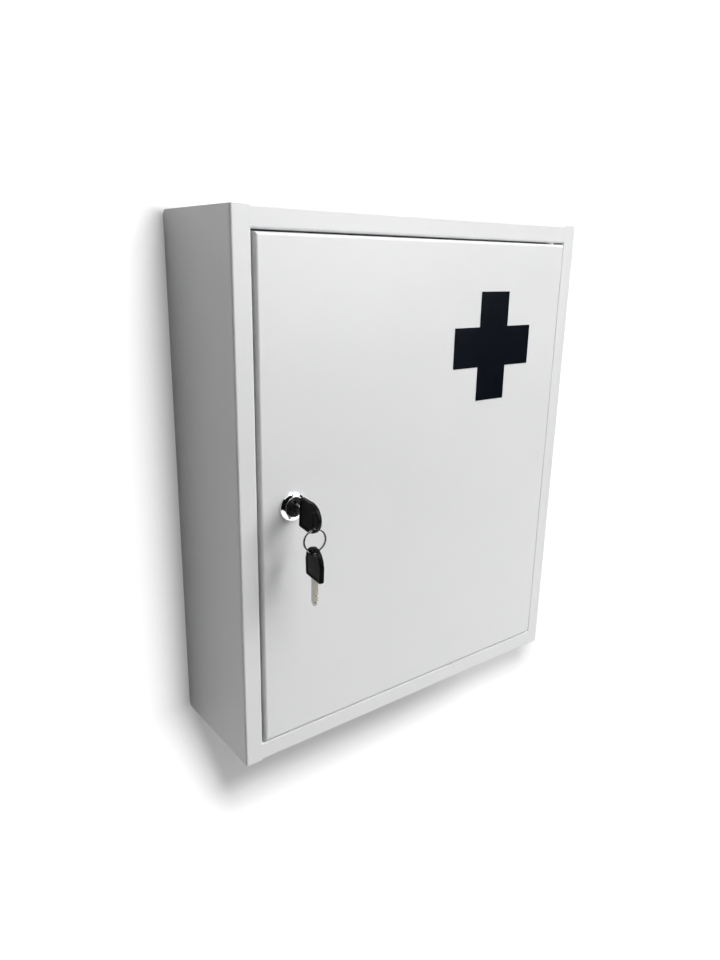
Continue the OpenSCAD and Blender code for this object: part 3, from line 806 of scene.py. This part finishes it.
def painted_wall_shadow(t):
    """Painted shadow: how far the wall's own light is up, low close beside and just under the cabinet."""
    across = t.node("ShaderNodeSeparateXYZ", {}, {"Vector": t.place})
    up = t.also(across, "Z")
    below = (-SHADE_HALF_H - up).at_least(0)
    left = (SHADE_LEAN * below - SHADE_HALF_W - across).at_least(0)
    right = RIGHT_RATE * (across - SHADE_RIGHT).at_least(0)
    under = UNDER_RATE * (below - SHADE_UNDER).at_least(0)
    above = ABOVE_RATE * (up - SHADE_HALF_H).at_least(0)
    away = (left * left + right * right + under * under + above * above) ** 0.5
    return 1 - SHADE_DEPTH * ((away / SHADE_REACH) ** SHADE_FALL).fading()


def pale_backdrop(name, grey, own_light, painted_shade=None, see_through_back=False):
    """Matt surface that keeps shadows, with some light of its own so that it shows white, less where a painted
    shade dims it.
    """
    t = Finish(name)
    strength = t.seen() * own_light
    if painted_shade:
        # Painted shade: the own light is dimmed by a pattern, not by anything standing in the light.
        strength = strength * painted_shade(t)
    matt = t.node("ShaderNodeBsdfDiffuse", {}, {"Color": (grey, grey, grey, 1)})
    glow = t.node("ShaderNodeEmission", {}, {"Color": (1, 1, 1, 1), "Strength": strength})
    both = t.node("ShaderNodeAddShader", {}, {0: matt, 1: glow})
    if see_through_back:
        behind = t.node("ShaderNodeNewGeometry", output="Backfacing")
        clear = t.node("ShaderNodeBsdfTransparent")
        both = t.node("ShaderNodeMixShader", {}, {0: behind, 1: both, 2: clear})
    t.end("ShaderNodeOutputMaterial", both)
    return t.material


def wall():
    """The wall, with its patch behind the cabinet left out, so that the back is lit and seen."""
    bm = bmesh.new()
    bmesh.ops.create_grid(bm, x_segments=1, y_segments=1, size=1)
    bmesh.ops.scale(bm, verts=bm.verts, vec=(*WALL_HOLE, 1))
    patch = bm.faces[:]
    grown = bmesh.ops.extrude_edge_only(bm, edges=bm.edges[:])
    reach = [whole / hole for whole, hole in zip(WALL_REACH, WALL_HOLE)]
    bmesh.ops.scale(bm, verts=only(BMVert, grown["geom"]), vec=(*reach, 1))
    bmesh.ops.delete(bm, geom=patch, context="FACES_ONLY")
    bmesh.ops.rotate(bm, verts=bm.verts, matrix=turn(90, "X"))
    bmesh.ops.translate(bm, verts=bm.verts, vec=(0, WALL_BEHIND, 0))
    bm.normal_update()
    bmesh.ops.reverse_faces(bm, faces=[f for f in bm.faces if f.normal.y > 0])
    return mesh_object("wall", bm)


def floor():
    bm = bmesh.new()
    bmesh.ops.create_grid(bm, x_segments=1, y_segments=1, size=FLOOR_HALF)
    bmesh.ops.translate(bm, verts=bm.verts, vec=(0, 0, FLOOR_HEIGHT))
    return mesh_object("floor", bm)


def dark_screen():
    """Black cloth behind and left of the camera, seen only in what shines: the dark bands in metal."""
    bm = bmesh.new()
    for half, spin, place in CLOTHS:
        made = bmesh.ops.create_grid(bm, x_segments=1, y_segments=1, size=1)["verts"]
        bmesh.ops.scale(bm, verts=made, vec=(*half, 1))
        bmesh.ops.rotate(bm, verts=made, matrix=turn(spin, "Z") @ turn(90, "X"))
        bmesh.ops.translate(bm, verts=made, vec=place)
    screen = mesh_object("dark_screen", bm)
    for sight in ("visible_camera", "visible_diffuse", "visible_transmission", "visible_shadow"):
        setattr(screen, sight, False)
    return screen


def lamp(name, place, size, power):
    light = bpy.data.lights.new(name, "AREA")
    light.shape = "DISK"
    light.size = size
    light.energy = power
    holder = bpy.data.objects.new(name, light)
    bpy.context.scene.collection.objects.link(holder)
    aim = (Vector(LAMP_AIM) - Vector(place)).to_track_quat("-Z", "Y").to_matrix().to_4x4()
    holder.matrix_world = Matrix.Translation(place) @ aim


def set_studio():
    world = bpy.data.worlds.new("studio")
    bpy.context.scene.world = world
    t = Tree(world)
    t.end("ShaderNodeOutputWorld", t.node("ShaderNodeBackground", {}, {
        "Color": (1, 1, 1, 1), "Strength": AMBIENT + (1 - AMBIENT) * t.seen(),
    }))
    backs, ground, screen = wall(), floor(), dark_screen()
    # The wall's own light carries a painted shadow beside and under the cabinet.
    backs.data.materials.append(pale_backdrop("wall_white", WALL_GREY, 1.0, painted_wall_shadow, True))
    ground.data.materials.append(pale_backdrop("floor_white", FLOOR_GREY, 1.0))
    screen.data.materials.append(pale_backdrop("black_cloth", CLOTH_GREY, 0.0))
    for name, (place, size, power) in LAMPS.items():
        lamp(name, place, size, power)
    bpy.context.scene.view_settings.view_transform = "Standard"


# Making

place_camera()
set_studio()

FINISHES = {
    "white_paint": powder_coat(),
    "zinc_steel": zinc_plate(),
    "buffer_rubber": black_rubber(),
    "dark_film": cut_film(),
    "bush_nylon": natural_nylon(),
    "lock_chrome": lock_chrome(),
    "plug_dark": nickel_painted_dark(),
    "wafer_brass": stamped_brass(),
    "key_nickel": nickel_plate("blade_nickel", (0.66, 0.63, 0.56), (0.46, 0.43, 0.38), 0.18),
    "bow_plastic": moulded_black(),
    "ring_steel": nickel_plate("ring_nickel", (0.52, 0.52, 0.51), (0.34, 0.34, 0.34), 0.06),
}

for row in frame["record"]["subparts"]:
    slots = nodes[row["node"]].data.materials
    slots.clear()
    slots.append(FINISHES[row["material_slot"]])

finished(filled_seams(), "cabinet", "white_paint")
finished(lock_collar(), "door", "lock_chrome", "lock_body")
finished(lock_barrel(), "door", "lock_chrome", "lock_body")
finished(barrel_thread(), "door", "lock_chrome")
finished(chamfered_nut(), "door", "zinc_steel", "lock_nut")
finished(
    moulded_bow("key_bow_moulded", key_in_lock(), SLOT_LOW),
    "key", "bow_plastic", "key_bow",
)
finished(
    moulded_bow("spare_bow_moulded", key_on_ring(), SPARE_SLOT_LOW),
    "spare_key", "bow_plastic", "spare_key_bow",
)
finished(wound_ring(), "ring", "ring_steel", "key_ring")
